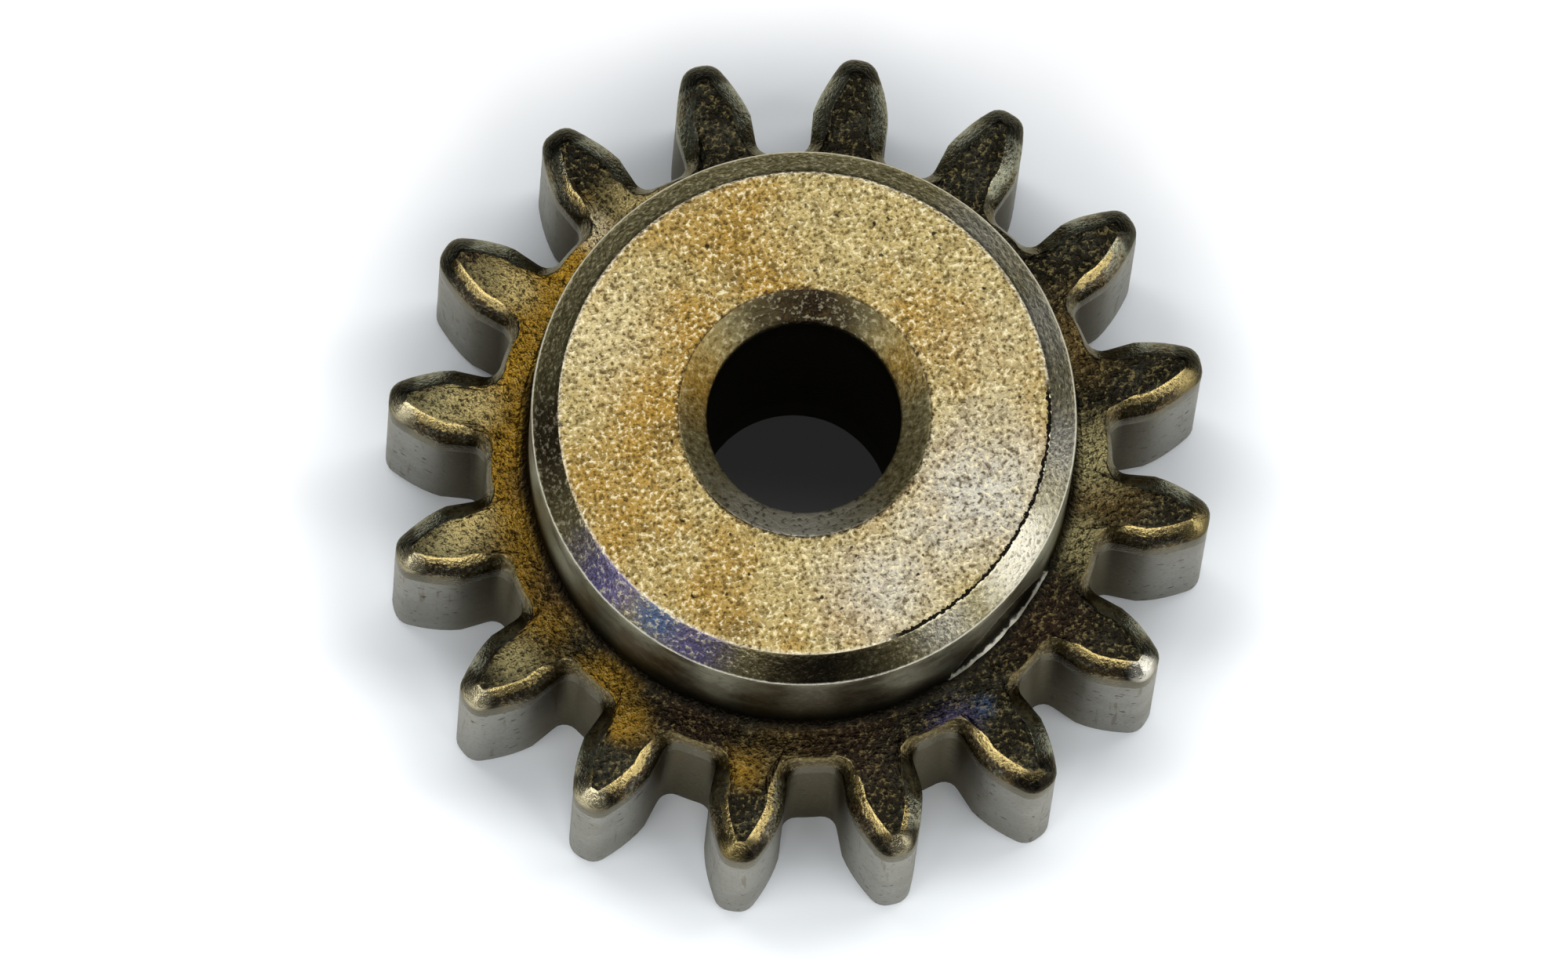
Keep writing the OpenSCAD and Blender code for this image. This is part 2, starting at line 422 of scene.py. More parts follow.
class Tooth:
    """Half a tooth from the middle of its tip to the middle of its gap, drawn in by any inset"""

    def __init__(self, sizes):
        pitch_r = sizes.gear_module * sizes.tooth_count / 2
        self.half_pitch = math.pi / sizes.tooth_count
        self.base_r = pitch_r * math.cos(sizes.pressure_angle)
        self.tip_r = pitch_r + sizes.addendum
        self.root_r = pitch_r - sizes.dedendum
        self.base_half = (
            self.half_pitch / 2 + involute(sizes.pressure_angle) - sizes.thinning / 2 / pitch_r
        )
        self.fillet_r = sizes.root_radius
        self.tip_radius = sizes.tip_radius

    def slope_at(self, radius):
        """Angle between a flank's radius and its tangent"""
        return math.acos(min(1, self.base_r / radius))

    def flank_angle(self, radius, inset):
        """Half the angle of the tooth: a line parallel to an involute is that involute turned back"""
        return self.base_half - inset / self.base_r - involute(self.slope_at(radius))

    def peak_r(self, inset):
        """Radius at which the drawn-in tooth has only its least width left"""
        return self.base_r / math.cos(
            angle_of_involute(self.base_half - (inset + LEAST_TIP) / self.base_r)
        )

    def tip(self, inset):
        """Tip from its middle over its corner to the flank"""
        corner_r = max(LEAST_TIP, self.tip_radius - inset)
        centre_r = min(self.tip_r - inset, self.peak_r(inset)) - corner_r
        centre_a = max(0, self.flank_angle(centre_r, inset + corner_r))
        land = [polar(centre_r + corner_r, a) for a in steps(0, centre_a, LAND_STEPS)[:-1]]
        centre = polar(centre_r, centre_a)
        turn = math.pi / 2 - self.slope_at(centre_r)
        return land + [centre + polar(corner_r, centre_a + a) for a in steps(0, turn, CORNER_STEPS)]

    def fillet(self, inset):
        """Fillet from the flank to the gap's floor, where an inset narrows, and the floor to its middle"""
        centre_r = self.root_r + self.fillet_r
        centre_a = self.base_half + math.asin(self.fillet_r / centre_r)
        centre = polar(centre_r, centre_a)
        angles = steps(self.base_half + 1.5 * math.pi, centre_a + math.pi, FILLET_STEPS)
        insets = steps(inset, FLOOR_SHARE * inset, FILLET_STEPS)
        floor = steps(centre_a, self.half_pitch, FLOOR_STEPS)[1:]
        return [centre + polar(self.fillet_r + i, a) for i, a in zip(insets, angles)] + [
            polar(self.root_r - insets[-1], a) for a in floor
        ]

    def outline(self, inset, height):
        """Whole chain at a height"""
        tip = self.tip(inset)
        foot = self.fillet(inset)
        radii = steps(tip[-1].length, max(self.base_r, foot[0].length), FLANK_STEPS)[1:-1]
        flank = [polar(r, self.flank_angle(r, inset)) for r in radii]
        return [Vector((p.x, p.y, height)) for p in tip + flank + foot]

    def ring(self, radius, height):
        """As many points, evenly spread on a circle"""
        return [polar(radius, a, height) for a in steps(0, self.half_pitch, CHAIN_STEPS)]


def blend_rows(first, last, count, zone):
    """Rows between two chains, without the first and with the last"""
    shares = steps(0, 1, count)[1:]
    return [(zone, [a.lerp(b, share) for a, b in zip(first, last)]) for share in shares]


def bevel_section(sizes):
    """Points of the bevel from the wall up to the end face: how far in and how deep each one lies. The
    wall bends over in a long curve to a slant, and the slant turns into the end face in a short one"""
    bends = (
        (Vector((0, BEVEL_DEEP)), WALL_CORNER, BEVEL_MEET),
        (BEVEL_MEET, END_CORNER, Vector((BEVEL_IN, 0))),
    )
    section = []
    for first, corner, last in bends:
        for share in steps(0, 1, BEND_STEPS)[:-1]:
            point = first.lerp(corner, share).lerp(corner.lerp(last, share), share)
            section.append((point.x * sizes.bevel_w, point.y * sizes.bevel_h))
    return section + [(BEVEL_IN * sizes.bevel_w, 0)]


def tooth_rows(sizes, tooth):
    """Rows from the lower countersink out under the teeth, up their walls and in over their ends"""
    under = sizes.under_round
    hub_foot = sizes.hub_d / 2 + sizes.foot_radius
    top = sizes.face_w
    start = tooth.ring(sizes.bore_d / 2 + sizes.sink_w, LOW.z)
    rows = [(UNDERSIDE, start)]
    rows += blend_rows(start, tooth.outline(under, LOW.z), UNDER_ROWS, UNDERSIDE)
    for a in steps(0, math.pi / 2, EDGE_ROWS)[1:]:
        rows.append((WALL, tooth.outline(under * (1 - math.sin(a)), under * (1 - math.cos(a)))))
    for z in steps(under, top - BEVEL_DEEP * sizes.bevel_h, WALL_ROWS)[1:-1]:
        rows.append((WALL, tooth.outline(0, z)))
    for inset, depth in bevel_section(sizes):
        zone = BEVEL if depth > FLAT_SHARE * sizes.bevel_h else END
        rows.append((zone, tooth.outline(inset, top - depth)))
    rows += blend_rows(rows[-1][1], tooth.ring(hub_foot, top), END_ROWS, END)
    return rows


def hub_rows(sizes, tooth):
    """Rows from the hub's foot up its side, in over its top and down the bore to the lower face"""
    hub_r = sizes.hub_d / 2
    bore_r = sizes.bore_d / 2
    foot = sizes.foot_radius
    step_z = sizes.face_w + sizes.foot_step
    rows = [(END, tooth.ring(hub_r + foot, step_z))]
    for a in steps(1.5 * math.pi, math.pi, FOOT_ROWS)[1:]:
        rows.append((END, tooth.ring(hub_r + foot * (1 + math.cos(a)), step_z + foot * (1 + math.sin(a)))))
    # Each corner of the section after the foot: radius, height, wear, rows up to it and its surface
    corners = (
        (hub_r, step_z + foot, 0, 0, HUB_SIDE),
        (hub_r, HIGH.z - sizes.chamfer, 2 * sizes.edge, 34, HUB_SIDE),
        (hub_r - sizes.chamfer, HIGH.z, sizes.edge, 6, CHAMFER),
        (bore_r + sizes.sink_w, HIGH.z, 1.5 * sizes.edge, 28, HUB_TOP),
        (bore_r, HIGH.z - sizes.sink_h, sizes.edge, 5, BORE_WALL),
        (bore_r, LOW.z + sizes.sink_h, 0, 6, BORE_WALL),
        (bore_r + sizes.sink_w, LOW.z, 0, 3, BORE_WALL),
    )
    for before, corner, after in zip(corners, corners[1:], corners[2:] + (corners[-1],)):
        wear, count, zone = corner[2:]
        here = Vector(corner[:2])
        back = (Vector(before[:2]) - here).normalized() * wear
        ahead = (Vector(after[:2]) - here).normalized() * wear
        start = rows[-1][1]
        rows += blend_rows(start, tooth.ring(*(here + back)), count, zone)
        if wear:
            # The middle of a worn corner lies a quarter of the way in
            rows.append((zone, tooth.ring(*(here + (back + ahead) / 4))))
            rows.append((after[4], tooth.ring(*(here + ahead))))
    return rows


def scar_low(sizes):
    """Height of the scar's lower edge"""
    return sizes.face_w + sizes.foot_step + sizes.foot_radius + SCAR_RISE


def scar_at(place, sizes):
    """How far inside the scar's edge a point of the hub's side lies, less than nothing outside it, and the
    share of the scar's depth there, which is full above its lower edge and runs out towards its top"""
    share = (math.atan2(place.y, place.x) - SCAR_START) / (SCAR_END - SCAR_START)
    beyond = max(0, -share, share - 1) * (SCAR_END - SCAR_START) * sizes.hub_d / 2
    up = place.z - scar_low(sizes)
    top = SCAR_H * math.sin(math.pi * min(1, max(0, share)))
    ragged = SCAR_WAVER * noise.noise(place / SCAR_WAVE)
    inside = min(up, top - up) - beyond + ragged
    left = (top - up) / max(SCAR_LIP_W, SCAR_FADE * top)
    return inside, min(1, max(0, inside / SCAR_LIP_W)) * min(1, max(0, left))


def add_relief(bm, sizes):
    """Moves the points along their normals by the grain, the waves and the scar with its lip, which is
    lower along its upper edge, and notes how far inside the scar each point lies and how deep"""
    zones = bm.verts.layers.int["zone"]
    scar = bm.verts.layers.float["scar"]
    scar_depth = bm.verts.layers.float["scar_depth"]
    shifts = {}
    for vert in bm.verts:
        zone = vert[zones]
        fine, coarse = RELIEF[zone]
        height = fine * MM * noise.noise(vert.co / sizes.grain) + coarse * MM * noise.noise(vert.co / WAVE)
        inside, depth = scar_at(vert.co, sizes)
        vert[scar] = inside
        vert[scar_depth] = depth
        if zone == HUB_SIDE:
            lip = SCAR_LIP if vert.co.z < scar_low(sizes) + 2 * SCAR_LIP_W else SCAR_TOP_LIP
            height += lip * math.exp(-((inside / SCAR_LIP_W) ** 2)) - SCAR_DEPTH * depth
        shifts[vert] = vert.normal * height
    for vert, shift in shifts.items():
        vert.co += shift


def grow(bm, rows):
    """Grows half a tooth's sector from a chain of points, row by row"""
    place = bm.verts.layers.int.new("place")
    zones = bm.verts.layers.int.new("zone")
    bm.verts.layers.float.new("scar")
    bm.verts.layers.float.new("scar_depth")
    zone, points = rows[0]
    verts = [bm.verts.new(p) for p in points]
    for i, vert in enumerate(verts):
        vert[place] = i
        vert[zones] = zone
    edges = [bm.edges.new(pair) for pair in zip(verts, verts[1:])]
    for zone, points in rows[1:]:
        grown = bmesh.ops.extrude_edge_only(bm, edges=edges)["geom"]
        fresh = {part for part in grown if isinstance(part, bmesh.types.BMVert)}
        for vert in fresh:
            vert.co = points[vert[place]]
            vert[zones] = zone
        edges = [
            part for part in grown if isinstance(part, bmesh.types.BMEdge) and set(part.verts) <= fresh
        ]
        for face in {face for edge in edges for face in edge.link_faces}:
            face.material_index = zone
            face.smooth = True


def everything(bm):
    """All the parts of a mesh, as its operators take them"""
    return bm.verts[:] + bm.edges[:] + bm.faces[:]


def as_object(bm, name, materials):
    """Object at the origin with this mesh"""
    mesh = bpy.data.meshes.new(name)
    bm.to_mesh(mesh)
    bm.free()
    for material in materials:
        mesh.materials.append(material)
    piece = bpy.data.objects.new(name, mesh)
    bpy.context.scene.collection.objects.link(piece)
    return piece


def add(tree, kind, inputs=None, output=0, **settings):
    """Adds a node with its settings, sets or links its inputs, and gives one of its outputs"""
    node = tree.nodes.new(kind)
    for name, value in settings.items():
        setattr(node, name, value)
    for name, value in (inputs or {}).items():
        if isinstance(value, bpy.types.NodeSocket):
            tree.links.new(value, node.inputs[name])
        else:
            node.inputs[name].default_value = value
    return node.outputs[output] if node.outputs else node


def per_size(size):
    """Scale of a pattern whose features are this long"""
    return 1 / size


def stain(tree, colour, tint_over, value, start, full, strength=1.0):
    """Lays a tint over a colour: none of it where a value is at start, its strength where it is at full"""
    share = add(
        tree, "ShaderNodeMapRange",
        {"Value": value, "From Min": start, "From Max": full, "To Min": 0.0, "To Max": strength},
        interpolation_type="SMOOTHSTEP",
    )
    inputs = {SHARE: share, FIRST: colour, SECOND: (*tint_over, 1.0)}
    return add(tree, "ShaderNodeMix", inputs, MIXED, data_type="RGBA")


def heat_spots(tree, place, colour, tints, height, spots):
    """Lays ragged spots over the colour of a surface that lies at a height: oxide, and on some lists painted
    highlight and shade
    """
    ragged = add(
        tree, "ShaderNodeTexNoise",
        {"Vector": place, "Scale": per_size(SPOT_LOBE), "Detail": 5.0, "Roughness": 0.7},
    )
    for name, angle, radius, reach, strength in spots:
        centre = polar(radius * MM, math.radians(angle), height)
        away = add(tree, "ShaderNodeVectorMath", {0: place, 1: centre}, "Value", operation="DISTANCE")
        rough = add(
            tree, "ShaderNodeMath",
            {0: ragged, 1: SPOT_RAGGED * reach * MM, 2: away}, operation="MULTIPLY_ADD",
        )
        rim = SPOT_RIM * reach * MM
        core = SPOT_CORE * reach * MM
        colour = stain(tree, colour, getattr(tints, name), rough, rim, core, strength)
    return colour


def new_material(name):
    """Empty material, its tree and the place on the object"""
    material = bpy.data.materials.new(name)
    material.use_nodes = True
    tree = material.node_tree
    tree.nodes.clear()
    return material, tree, add(tree, "ShaderNodeTexCoord", output="Object")


def steel(tree, tints, colour, roughness, height, depth):
    """Bare metal with its bump, as deep as given, and its film of oxide, linked to the output"""
    normal = add(tree, "ShaderNodeBump", {"Height": height, "Distance": depth, "Strength": 1.0})
    shader = add(
        tree, "ShaderNodeBsdfPrincipled",
        {
            "Base Color": colour, "Metallic": 1.0, "Roughness": roughness, "Normal": normal,
            "Specular Tint": (*tints.film, 1.0),
        },
    )
    add(tree, "ShaderNodeOutputMaterial", {"Surface": shader})


def powder(tree, place, colour, size, crests, hollows):
    """Lays the powder's grain over a colour: a tint and its strength for the crests, and for the hollows.
    Gives the colour and the grain's height"""
    grain = add(
        tree, "ShaderNodeTexNoise",
        {"Vector": place, "Scale": per_size(size), "Detail": 2.0, "Roughness": 0.6},
    )
    colour = stain(tree, colour, crests[0], grain, *CRESTS, crests[1])
    return stain(tree, colour, hollows[0], grain, *HOLLOWS, hollows[1]), grain


def clouds(tree, place, colour, tint_over, size, strength):
    """Lays soft clouds of a tint over a colour"""
    cloud = add(tree, "ShaderNodeTexNoise", {"Vector": place, "Scale": per_size(size), "Detail": 4.0})
    return stain(tree, colour, tint_over, cloud, *CLOUDS, strength)


def pores(tree, place, colour, tints, spacing, share):
    """Lays open pores over a colour, about one for each spacing where share is near 1"""
    holes = add(tree, "ShaderNodeTexNoise", {"Vector": place, "Scale": per_size(spacing), "Detail": 1.0})
    start, full = (height + PORE_GAIN * share for height in PORES)
    return stain(tree, colour, tints.pore_and_shade, holes, start, full, 0.9)


def axis_distance(tree, place):
    """How far a point lies from the gear's axis"""
    flat = add(tree, "ShaderNodeVectorMath", {0: place, 1: (1, 1, 0)}, operation="MULTIPLY")
    return add(tree, "ShaderNodeVectorMath", {0: flat}, "Value", operation="LENGTH")


def pressed_top(tints, sizes):
    """Sintered steel, pressed by a flat punch: pale crests and brown hollows of powder, tinted by heat,
    with a bare ragged edge and, on one side, a dark crease where the rim begins"""
    material, tree, place = new_material("sintered steel, pressed hub face")
    colour = clouds(tree, place, (*tints.straw, 1.0), tints.orange, 1.3 * MM, 0.6)
    colour = heat_spots(tree, place, colour, tints, HIGH.z, HUB_TOP_SPOTS)
    colour = clouds(tree, place, colour, tints.brown, 2 * sizes.grain, 0.4)
    colour, grain = powder(
        tree, place, colour, 0.65 * sizes.grain, (tints.cream, 0.75), (tints.brown, 0.85)
    )
    colour = pores(tree, place, colour, tints, 1.2 * sizes.grain, 0.1)
    rim = sizes.hub_d / 2 - sizes.chamfer
    radius = axis_distance(tree, place)
    ragged = add(tree, "ShaderNodeMath", {0: grain, 1: 0.2 * MM, 2: radius}, operation="MULTIPLY_ADD")
    colour = stain(tree, colour, tints.bright, ragged, rim, rim + 0.1 * MM, 0.4)
    mouth = sizes.bore_d / 2 + sizes.sink_w
    colour = stain(tree, colour, tints.umber, ragged, mouth + 0.2 * MM, mouth + 0.1 * MM, 0.8)
    line = add(tree, "ShaderNodeMath", {0: ragged, 1: rim + 0.05 * MM, 2: 0.04 * MM}, operation="COMPARE")
    crease = polar(rim, CREASE_ANGLE, HIGH.z)
    away = add(tree, "ShaderNodeVectorMath", {0: place, 1: crease}, "Value", operation="DISTANCE")
    on_line = add(tree, "ShaderNodeMath", {0: line, 1: -CREASE_PULL, 2: away}, operation="MULTIPLY_ADD")
    colour = stain(tree, colour, tints.pore_and_shade, on_line, CREASE_HALF - CREASE_PULL, CREASE_FULL - CREASE_PULL)
    steel(tree, tints, colour, 0.5, grain, 0.04 * MM)
    return material


def pressed_ends(tints, sizes):
    """Sintered steel, coarse from the punch: dark oxide on the teeth, clear amber on the web, and painted
    shade in the fillet at the hub's foot
    """
    material, tree, place = new_material("sintered steel, pressed tooth ends")
    colour = clouds(tree, place, (*tints.bronze, 1.0), tints.olive, 0.6 * MM, 0.06)
    colour = heat_spots(tree, place, colour, tints, sizes.face_w, END_SPOTS)
    colour, grain = powder(tree, place, colour, 0.65 * sizes.grain, (tints.straw, 0.25), (tints.pore_and_shade, 0.8))
    foot = sizes.hub_d / 2 + sizes.foot_radius
    radius = axis_distance(tree, place)
    # Painted shade, nearly black, in the fillet at the hub's foot
    colour = stain(tree, colour, tints.pore_and_shade, radius, foot + 0.02 * MM, foot - 0.15 * MM, 0.85)
    steel(tree, tints, colour, 0.42, grain, 0.06 * MM)
    return material


def rolled_bevel(tints, sizes):
    """Sintered steel, rubbed smooth by the die: grey-green slant; where it faces the front, a painted gold
    highlight along its pitted inner edge over a band of painted shade; oxide and painted shade in the gaps,
    painted shade on the tips and a few painted glints"""
    material, tree, place = new_material("sintered steel, smooth bevel")
    radius = axis_distance(tree, place)
    normal = add(tree, "ShaderNodeTexCoord", output="Normal")
    facing = add(tree, "ShaderNodeVectorMath", {0: normal, 1: HIGHLIGHT_SIDE}, "Value", operation="DOT_PRODUCT")
    side = add(tree, "ShaderNodeVectorMath", {0: place, 1: HIGHLIGHT_SIDE}, "Value", operation="DOT_PRODUCT")
    light_facing = add(tree, "ShaderNodeMath", {0: side, 1: HIGHLIGHT_LEAN, 2: facing}, operation="MULTIPLY_ADD")
    # Painted shade: a dark band on the bevels that face the front
    colour = stain(tree, (*tints.olive, 1.0), tints.umber, light_facing, 0.1, 0.5, 0.85)
    colour, grain = powder(
        tree, place, colour, 0.8 * sizes.grain, (tints.olive, 0.3), (tints.brown, 0.6)
    )
    colour = clouds(tree, place, colour, tints.brown, 0.5 * MM, 0.6)
    high = add(tree, "ShaderNodeSeparateXYZ", {0: place}, "Z")
    ragged = add(tree, "ShaderNodeMath", {0: grain, 1: 0.25 * MM, 2: high}, operation="MULTIPLY_ADD")
    # How far down the painted gold highlight reaches, more where a bevel faces the front
    reach = add(
        tree, "ShaderNodeMapRange",
        {"Value": light_facing, "From Min": 0.0, "From Max": 0.35, "To Min": 0.0, "To Max": 0.17 * MM},
        interpolation_type="SMOOTHSTEP",
    )
    near = add(tree, "ShaderNodeMath", {0: ragged, 1: reach}, operation="ADD")
    edge = sizes.face_w + 0.125 * MM
    # Painted gold highlight along the inner edge of the bevels
    colour = stain(tree, colour, tints.gold, near, edge, edge + 0.04 * MM)
    # Oxide with painted shade in the gaps, which also dims the painted highlight there
    colour = stain(tree, colour, tints.earth, radius, *GAP_BEVEL, 0.8)
    colour, pits = powder(
        tree, place, colour, 0.5 * sizes.grain, (tints.cream, 0.15), (tints.umber, 0.7)
    )
    # Painted shade, nearly black, on the bevels' tips
    colour = stain(tree, colour, tints.pore_and_shade, radius, *TIP_BEVEL, 0.85)
    # Painted glints at the corners of a few tips
    colour = heat_spots(tree, place, colour, tints, sizes.face_w - 0.15 * MM, BEVEL_GLINTS)
    steel(tree, tints, colour, 0.26, pits, 0.015 * MM)
    return material


def drawn_wall(tints, sizes):
    """Sintered steel, drawn through the die: matt pale grey with fine pores and faint streaks along the
    draw, and oxide with painted shade in the gaps"""
    material, tree, place = new_material("sintered steel, die-drawn wall")
    radius = axis_distance(tree, place)
    drawn = add(tree, "ShaderNodeVectorMath", {0: place, 1: DRAWN}, operation="MULTIPLY")
    streaks = add(
        tree, "ShaderNodeTexNoise", {"Vector": drawn, "Scale": per_size(sizes.grain), "Detail": 2.0}
    )
    # Oxide with painted shade in the gaps between the teeth
    colour = stain(tree, (*tints.grey, 1.0), tints.earth, radius, *GAP_WALL)
    colour, grain = powder(
        tree, place, colour, 0.5 * sizes.grain, (tints.grey, 0.2), (tints.brown, 0.4)
    )
    colour = stain(tree, colour, tints.brown, streaks, 0.36, 0.28, 0.5)
    colour = clouds(tree, place, colour, tints.earth, 1.5 * MM, 0.2)
    colour = pores(tree, place, colour, tints, 1.5 * sizes.grain, 0.4)
    steel(tree, tints, colour, 0.45, grain, 0.006 * MM)
    return material


def hub_side(tints, sizes):
    """Sintered steel, drawn smooth: dark grey-green with cloudy oxide, painted shade that makes it nearly
    black towards the foot, and a scar whose dent is painted black as shade, with a dull upper and a bare
    lower lip"""
    material, tree, place = new_material("sintered steel, hub side")
    high = add(tree, "ShaderNodeSeparateXYZ", {0: place}, "Z")
    colour = clouds(tree, place, (*tints.olive, 1.0), tints.umber, 1.5 * MM, 0.9)
    colour = heat_spots(tree, place, colour, tints, (sizes.face_w + HIGH.z) / 2, SIDE_SPOTS)
    colour, grain = powder(tree, place, colour, sizes.grain, (tints.olive, 0.2), (tints.pore_and_shade, 0.5))
    # Painted shade, nearly black, towards the hub's foot
    colour = stain(tree, colour, tints.pore_and_shade, high, sizes.face_w + 2.2 * MM, sizes.face_w + 0.6 * MM, 0.9)
    inside = add(tree, "ShaderNodeAttribute", output="Fac", attribute_name="scar")
    edge = add(tree, "ShaderNodeMath", {0: inside}, operation="ABSOLUTE")
    lip = add(tree, "ShaderNodeMath", {0: grain, 1: 0.12 * MM, 2: edge}, operation="MULTIPLY_ADD")
    low = add(tree, "ShaderNodeMath", {0: high, 1: LIP_CLIMB, 2: lip}, operation="MULTIPLY_ADD")
    low_edge = LIP_CLIMB * scar_low(sizes)
    depth = add(tree, "ShaderNodeAttribute", output="Fac", attribute_name="scar_depth")
    # Painted shade, black, in the scar's dent, fullest where it is deepest
    colour = stain(tree, colour, tints.pore_and_shade, depth, 0.0, 1.0)
    colour = stain(tree, colour, tints.silver, lip, 0.14 * MM, 0.07 * MM, 0.3)
    colour = stain(tree, colour, tints.bright, low, low_edge + 0.13 * MM, low_edge + 0.09 * MM)
    steel(tree, tints, colour, 0.4, grain, 0.006 * MM)
    return material


def hub_chamfer(tints, sizes):
    """Sintered steel, smooth rim: khaki with pale specks, a painted highlight on the right, painted shade on
    the left and, nearly black, at the front, blued beside that, and a lower edge worn bare and painted as a
    highlight"""
    material, tree, place = new_material("sintered steel, hub rim")
    middle = HIGH.z - sizes.chamfer / 2
    # Heat tints, with painted highlight on the right and painted shade on the left
    colour = heat_spots(tree, place, (*tints.khaki, 1.0), tints, middle, RIM_SPOTS)
    colour, grain = powder(
        tree, place, colour, 0.7 * sizes.grain, (tints.cream, 0.6), (tints.brown, 0.6)
    )
    # Painted shade on the front of the rim
    colour = heat_spots(tree, place, colour, tints, middle, RIM_SHADE)
    high = add(tree, "ShaderNodeSeparateXYZ", {0: place}, "Z")
    edge = HIGH.z - sizes.chamfer
    # Lower edge worn bare, and painted brighter as a highlight
    colour = stain(tree, colour, tints.bright, high, edge + 0.05 * MM, edge + 0.02 * MM, 0.6)
    steel(tree, tints, colour, 0.32, grain, 0.02 * MM)
    return material


def bore_wall(tints, sizes):
    """Sintered steel, cut by the core rod: khaki-brown countersinks with painted shade at the back and a
    painted highlight at the front, and a rough bore that painted shade turns black below them
    """
    material, tree, place = new_material("sintered steel, bore")
    high = add(tree, "ShaderNodeSeparateXYZ", {0: place}, "Z")
    # Heat tints, with painted shade and a painted highlight on the countersink
    colour = heat_spots(tree, place, (*tints.khaki, 1.0), tints, HIGH.z - sizes.sink_h / 2, SINK_SPOTS)
    colour, grain = powder(
        tree, place, colour, 0.8 * sizes.grain, (tints.cream, 0.3), (tints.brown, 0.7)
    )
    top = HIGH.z - sizes.sink_h
    # Painted shade, black, down the bore
    colour = stain(tree, colour, tints.pore_and_shade, high, top + 0.1 * MM, top - 0.3 * MM)
    steel(tree, tints, colour, 0.5, grain, 0.02 * MM)
    return material


class PINION_OT_gear(bpy.types.Operator):
    """Build the gear over its solid, with its grain, worn edges and heat tints"""

    bl_idname = "pinion.gear"
    bl_label = "Gear"

    def execute(self, context):
        sizes = context.scene.pinion_sizes
        tints = context.scene.pinion_tints
        tooth = Tooth(sizes)
        bm = bmesh.new()
        grow(bm, tooth_rows(sizes, tooth) + hub_rows(sizes, tooth))
        bmesh.ops.mirror(bm, geom=everything(bm), matrix=Matrix.Identity(4), merge_dist=MERGE, axis="Y")
        copies = sizes.tooth_count - 1
        bmesh.ops.spin(
            bm, geom=everything(bm), cent=(0, 0, 0), axis=(0, 0, 1), dvec=(0, 0, 0),
            angle=2 * tooth.half_pitch * copies, steps=copies, use_duplicate=True,
        )
        bmesh.ops.remove_doubles(bm, verts=bm.verts, dist=MERGE)
        bmesh.ops.recalc_face_normals(bm, faces=bm.faces)
        bm.normal_update()
        add_relief(bm, sizes)
        walls = drawn_wall(tints, sizes)
        # In the order of the surfaces' numbers
        materials = [
            walls, rolled_bevel(tints, sizes), pressed_ends(tints, sizes),
            hub_side(tints, sizes), hub_chamfer(tints, sizes), pressed_top(tints, sizes),
            bore_wall(tints, sizes), walls,
        ]
        gear = as_object(bm, "sintered_pinion", materials)
        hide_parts("pinion_gear")
        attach(gear, "root")
        return {"FINISHED"}


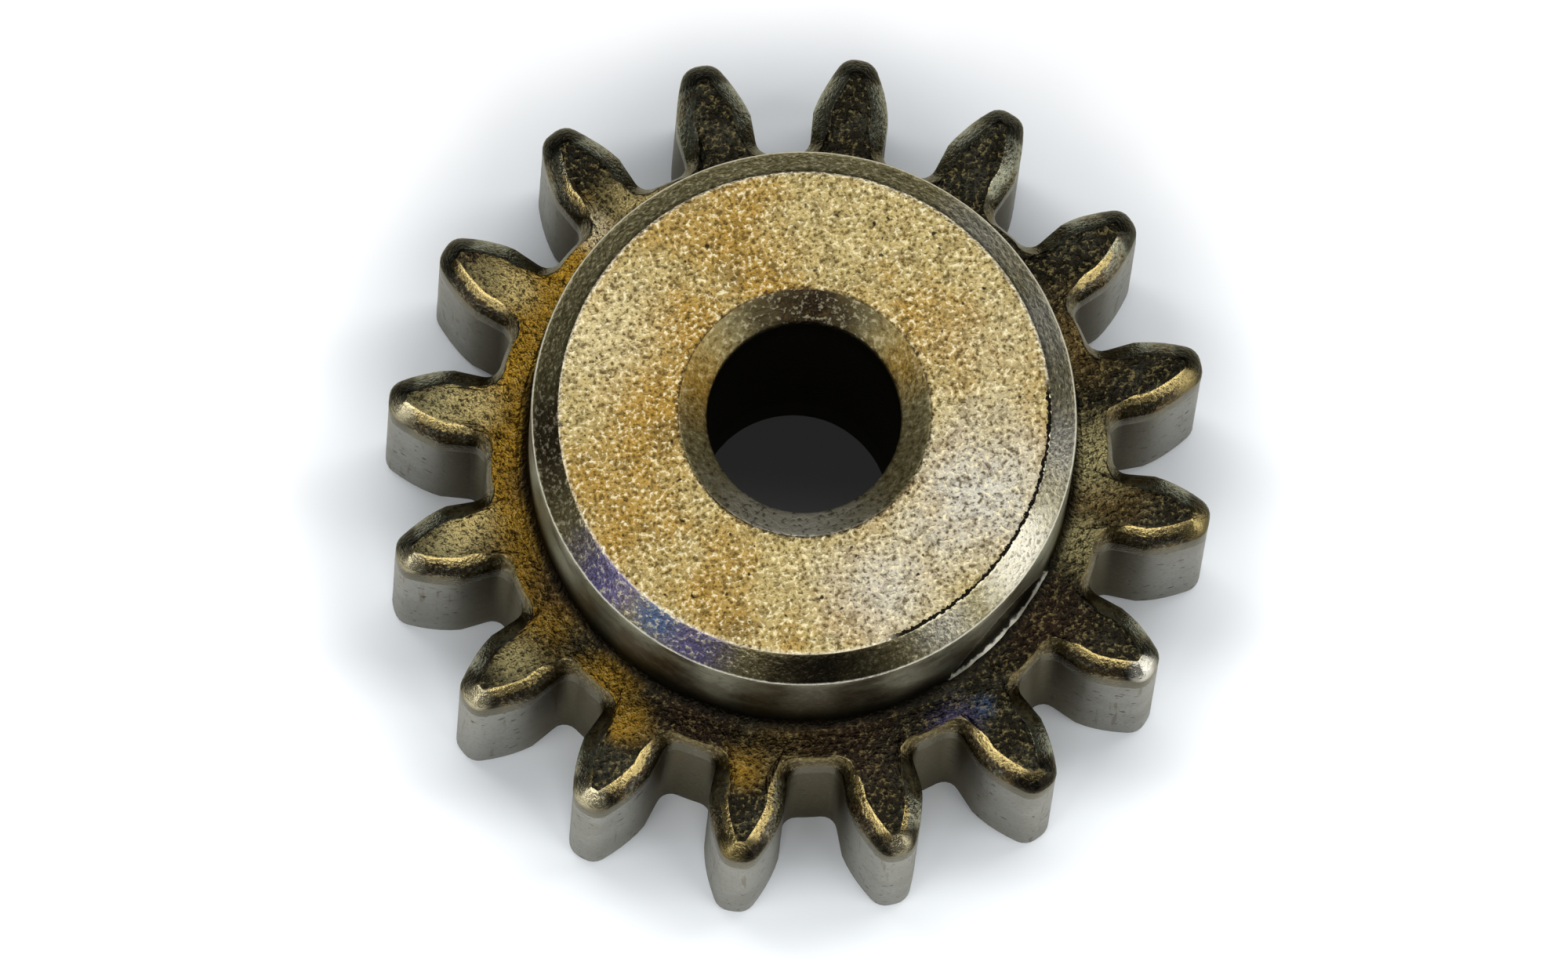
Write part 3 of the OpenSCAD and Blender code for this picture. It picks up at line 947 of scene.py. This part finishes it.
class PINION_OT_stage(bpy.types.Operator):
    """Lay a pale floor, set soft studio light and place the camera at the photograph's angle"""

    bl_idname = "pinion.stage"
    bl_label = "Stage"

    def execute(self, context):
        stage = context.scene.pinion_stage
        self.lay_floor(stage)
        self.set_lights(context)
        self.place_camera(context, stage)
        context.scene.view_settings.view_transform = "Standard"
        return {"FINISHED"}

    def lay_floor(self, stage):
        """Pale floor, grey where the light falls off, with a painted shadow round the gear and painted shade
        and a faint painted glow under the bore
        """
        bm = bmesh.new()
        bmesh.ops.create_grid(bm, x_segments=1, y_segments=1, size=FLOOR_SIZE)
        bmesh.ops.translate(bm, verts=bm.verts, vec=(0, 0, LOW.z - FLOOR_GAP))
        material, tree, place = new_material("matt paper")
        away = add(tree, "ShaderNodeVectorMath", {0: place}, "Value", operation="LENGTH")
        # Painted shadow on the floor round the gear
        colour = stain(tree, (*stage.floor_tint, 1.0), stage.gear_shadow_tint, away, GEAR_SHADOW_OUTER, GEAR_SHADOW_INNER)
        colour = stain(tree, colour, stage.far_tint, away, POOL_INNER, POOL_OUTER)
        # Painted shade on the floor under the bore
        colour = stain(tree, colour, stage.shade_tint, away, SHADE_OUTER, SHADE_INNER)
        # Faint painted glow, as emission, on the floor under the bore
        glow = add(
            tree, "ShaderNodeMapRange",
            {"Value": away, "From Min": SHADE_OUTER, "From Max": SHADE_INNER, "To Max": BORE_GLOW},
        )
        shader = add(
            tree, "ShaderNodeBsdfPrincipled",
            {"Base Color": colour, "Roughness": 0.9, "Emission Strength": glow},
        )
        add(tree, "ShaderNodeOutputMaterial", {"Surface": shader})
        as_object(bm, "floor", [material])

    def set_lights(self, context):
        """Strip high behind, three boxes in front, low cards at the right and left, and dim surroundings"""
        for name, azimuth, elevation, distance, width, height, power in LIGHTS:
            lamp = bpy.data.lights.new(name, "AREA")
            lamp.shape = "RECTANGLE"
            lamp.size = width
            lamp.size_y = height
            lamp.energy = power
            light = bpy.data.objects.new(name, lamp)
            way = polar(math.cos(math.radians(elevation)), math.radians(azimuth))
            way.z = math.sin(math.radians(elevation))
            light.location = way * distance
            light.rotation_euler = way.to_track_quat("Z", "Y").to_euler()
            context.scene.collection.objects.link(light)
        world = bpy.data.worlds.new("dim room")
        world.use_nodes = True
        world.node_tree.nodes["Background"].inputs["Color"].default_value = (*WORLD_TINT, 1)
        world.node_tree.nodes["Background"].inputs["Strength"].default_value = WORLD_STRENGTH
        context.scene.world = world

    def place_camera(self, context, stage):
        """Camera with a long lens, looking down on the middle of the tooth face"""
        sine, cosine = math.sin(stage.elevation), math.cos(stage.elevation)
        axes = Matrix(((1, 0, 0), (0, sine, cosine), (0, -cosine, sine))).to_4x4()
        face = context.scene.pinion_sizes.face_w
        view = (
            Matrix.Translation((stage.right, stage.above, -stage.distance))
            @ Matrix.Rotation(stage.roll, 4, "Z") @ axes
            @ Matrix.Translation((0, 0, -face)) @ Matrix.Rotation(stage.turn, 4, "Z")
        )
        lens = bpy.data.cameras.new("camera")
        lens.sensor_fit = "HORIZONTAL"
        lens.sensor_width = SENSOR_W
        lens.lens = SENSOR_W * stage.pixels_per_mm / MM * stage.distance / IMAGE_W
        lens.clip_end = CLIP_END
        camera = bpy.data.objects.new("camera", lens)
        camera.matrix_world = view.inverted()
        context.scene.collection.objects.link(camera)
        context.scene.camera = camera


class PINION_PT_panel(bpy.types.Panel):
    """Lists the gear's and the stage's operators and settings"""

    bl_idname = "PINION_PT_panel"
    bl_label = "Sintered pinion"
    bl_space_type = "VIEW_3D"
    bl_region_type = "UI"
    bl_category = "Pinion"

    def draw(self, context):
        layout = self.layout
        for operator in (PINION_OT_gear, PINION_OT_stage):
            layout.operator(operator.bl_idname)
        for settings in (context.scene.pinion_sizes, context.scene.pinion_tints, context.scene.pinion_stage):
            box = layout.box()
            for name in settings.bl_rna.properties.keys():
                if name not in ("rna_type", "name"):
                    box.prop(settings, name)


CLASSES = (PinionSizes, PinionTints, PinionStage, PINION_OT_gear, PINION_OT_stage, PINION_PT_panel)


def register():
    """Adds the classes and their settings to Blender"""
    for cls in CLASSES:
        bpy.utils.register_class(cls)
    bpy.types.Scene.pinion_sizes = bpy.props.PointerProperty(type=PinionSizes)
    bpy.types.Scene.pinion_tints = bpy.props.PointerProperty(type=PinionTints)
    bpy.types.Scene.pinion_stage = bpy.props.PointerProperty(type=PinionStage)


def unregister():
    """Takes them out again"""
    del bpy.types.Scene.pinion_stage
    del bpy.types.Scene.pinion_tints
    del bpy.types.Scene.pinion_sizes
    for cls in reversed(CLASSES):
        bpy.utils.unregister_class(cls)


def main():
    """Registers the classes, then builds the gear and its stage"""
    register()
    bpy.ops.pinion.gear()
    bpy.ops.pinion.stage()


if __name__ == "__main__":
    main()
